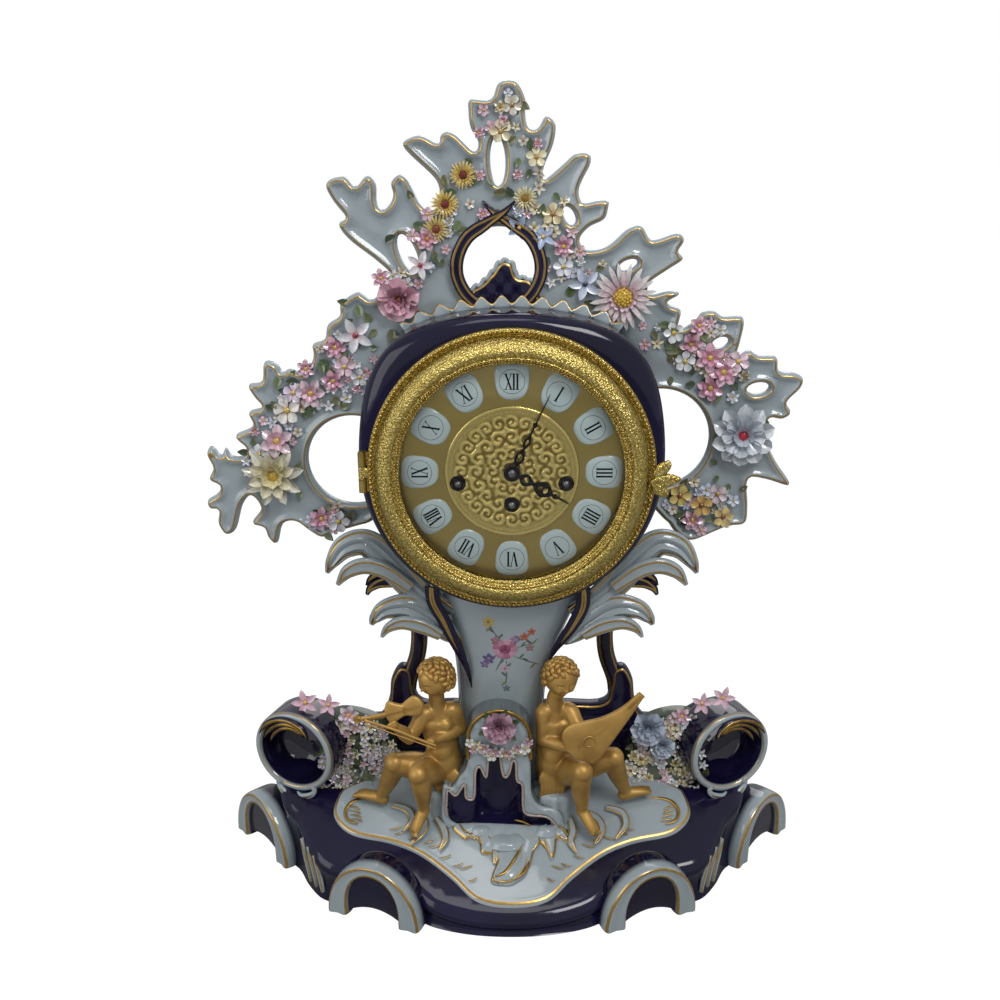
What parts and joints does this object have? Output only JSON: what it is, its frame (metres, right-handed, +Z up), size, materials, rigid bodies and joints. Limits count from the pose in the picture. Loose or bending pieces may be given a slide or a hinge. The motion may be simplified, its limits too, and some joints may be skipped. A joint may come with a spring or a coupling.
{
  "type": "porcelain table clock",
  "caption": "Rococo porcelain table clock: round gilt-bezel dial in a pierced leafy crest, on a waisted column over a scrolled base with two gilt music-making cherubs.",
  "frame": {"origin": "On the table, straight below the dial centre, in the middle plane of the pierced crest.", "axes": "+Z up; the dial faces -Y; +X is to the right of a viewer who looks at the dial."},
  "size_m": [0.46, 0.2062, 0.5794],
  "materials": {
    "cobalt_glaze": "dark cobalt glaze over opaque porcelain, high gloss",
    "white_glaze": "white glazed opaque porcelain, high gloss, gilded edges",
    "flower_enamel": "hand-modelled porcelain flowers in soft enamel colours, gloss",
    "gold_lustre": "opaque porcelain covered in warm gold lustre, satin gloss",
    "gilt_brass": "gilt brass, grainy between polished beads",
    "dial_gold": "matted gilt",
    "plaque_enamel": "domed pale blue-white enamel, opaque",
    "clear_glass": "clear domed glass",
    "black_steel": "blackened steel",
    "bright_steel": "polished steel",
    "clock_brass": "lacquered brass"
  },
  "bodies": {
    "case": {"base_body": "cobalt_glaze", "base_panel": "white_glaze", "scroll_foot_front_left": "white_glaze", "scroll_foot_front_right": "white_glaze", "scroll_foot_side_left": "white_glaze", "scroll_foot_side_right": "white_glaze", "volute_left": "cobalt_glaze", "volute_right": "cobalt_glaze", "gallery": "cobalt_glaze", "column": "white_glaze", "column_bands": "cobalt_glaze", "niche": "white_glaze", "rocaille_shell": "white_glaze", "leaf_scrolls_left": "white_glaze", "leaf_scrolls_right": "white_glaze", "drum_case": "cobalt_glaze", "drum_ruffle": "white_glaze", "crest_plate": "white_glaze", "crest_medallion": "cobalt_glaze", "flowers_crest": "flower_enamel", "flowers_wing_left": "flower_enamel", "flowers_wing_right": "flower_enamel", "flowers_base_left": "flower_enamel", "flowers_base_right": "flower_enamel", "cherub_violinist": "gold_lustre", "cherub_lutenist": "gold_lustre", "violin_and_bow": "gold_lustre", "lute": "gold_lustre", "bezel_frame": "gilt_brass", "dial_plate": "dial_gold", "dial_centre": "gilt_brass", "dial_plaques": "plaque_enamel", "bezel_hinge_pin": "gilt_brass", "front_plate": "clock_brass", "back_plate": "clock_brass", "plate_pillars": "clock_brass", "balance_cock": "clock_brass", "chime_rods": "bright_steel", "rear_ring": "clock_brass"},
    "bezel_door": {"bezel_ring": "gilt_brass", "bezel_glass": "clear_glass", "glass_retainer": "gilt_brass"},
    "minute": {"centre_arbor": "bright_steel", "minute_hand": "black_steel", "hand_nut": "bright_steel"},
    "hour": {"hour_wheel": "clock_brass", "hour_hand": "black_steel"},
    "motion": {"minute_wheel": "clock_brass"},
    "going": {"going_barrel": "clock_brass"},
    "strike": {"strike_barrel": "clock_brass"},
    "chime": {"chime_barrel": "clock_brass"},
    "going_winder": {"going_arbor": "black_steel"},
    "strike_winder": {"strike_arbor": "black_steel"},
    "chime_winder": {"chime_arbor": "black_steel"},
    "balance": {"balance_wheel": "clock_brass"},
    "hammer_a": {"hammer_1": "clock_brass"},
    "hammer_b": {"hammer_2": "clock_brass"},
    "hammer_c": {"hammer_3": "clock_brass"},
    "hammer_d": {"hammer_4": "clock_brass"},
    "rear_cover": {"rear_door": "clock_brass"}
  },
  "joints": [
    {"name": "bezel_hinge", "type": "hinge", "parent": "case", "child": "bezel_door", "pos_m": [-0.1006, -0.0612, 0.33], "axis": [0, 0, -1], "range_deg": [0, 110]},
    {"name": "minute_turn", "type": "hinge", "parent": "case", "child": "minute", "pos_m": [0, -0.06, 0.33], "axis": [0, 1, 0], "continuous": true},
    {"name": "hour_turn", "type": "hinge", "parent": "case", "child": "hour", "pos_m": [0, -0.06, 0.33], "axis": [0, 1, 0], "continuous": true},
    {"name": "motion_turn", "type": "hinge", "parent": "case", "child": "motion", "pos_m": [0.0072, -0.052, 0.34247], "axis": [0, 1, 0], "continuous": true},
    {"name": "going_turn", "type": "hinge", "parent": "case", "child": "going", "pos_m": [0, -0.03, 0.307], "axis": [0, 1, 0], "continuous": true},
    {"name": "strike_turn", "type": "hinge", "parent": "case", "child": "strike", "pos_m": [-0.0365, -0.03, 0.322], "axis": [0, 1, 0], "continuous": true},
    {"name": "chime_turn", "type": "hinge", "parent": "case", "child": "chime", "pos_m": [0.0365, -0.03, 0.322], "axis": [0, 1, 0], "continuous": true},
    {"name": "going_wind", "type": "hinge", "parent": "case", "child": "going_winder", "pos_m": [0, -0.03, 0.307], "axis": [0, 1, 0], "continuous": true},
    {"name": "strike_wind", "type": "hinge", "parent": "case", "child": "strike_winder", "pos_m": [-0.0365, -0.03, 0.322], "axis": [0, 1, 0], "continuous": true},
    {"name": "chime_wind", "type": "hinge", "parent": "case", "child": "chime_winder", "pos_m": [0.0365, -0.03, 0.322], "axis": [0, 1, 0], "continuous": true},
    {"name": "balance_swing", "type": "hinge", "parent": "case", "child": "balance", "pos_m": [0.014, -0.0063, 0.357], "axis": [0, 1, 0], "range_deg": [-130, 130], "stiffness_Nm_per_rad": 0.00005},
    {"name": "hammer_a_lift", "type": "hinge", "parent": "case", "child": "hammer_a", "pos_m": [0.03, -0.0069, 0.306], "axis": [0, 1, 0], "range_deg": [0, 14]},
    {"name": "hammer_b_lift", "type": "hinge", "parent": "case", "child": "hammer_b", "pos_m": [0.03, -0.0023, 0.306], "axis": [0, 1, 0], "range_deg": [0, 14]},
    {"name": "hammer_c_lift", "type": "hinge", "parent": "case", "child": "hammer_c", "pos_m": [0.03, 0.0023, 0.306], "axis": [0, 1, 0], "range_deg": [0, 14]},
    {"name": "hammer_d_lift", "type": "hinge", "parent": "case", "child": "hammer_d", "pos_m": [0.03, 0.0069, 0.306], "axis": [0, 1, 0], "range_deg": [0, 14]},
    {"name": "rear_hinge", "type": "hinge", "parent": "case", "child": "rear_cover", "pos_m": [-0.088, 0.0478, 0.33], "axis": [0, 0, 1], "range_deg": [0, 100]}
  ],
  "couplings": [
    {"joint": "hour_turn", "follows": "minute_turn", "ratio": 0.083333},
    {"joint": "motion_turn", "follows": "minute_turn", "ratio": -0.33333},
    {"joint": "going_turn", "follows": "minute_turn", "ratio": -0.125}
  ]
}
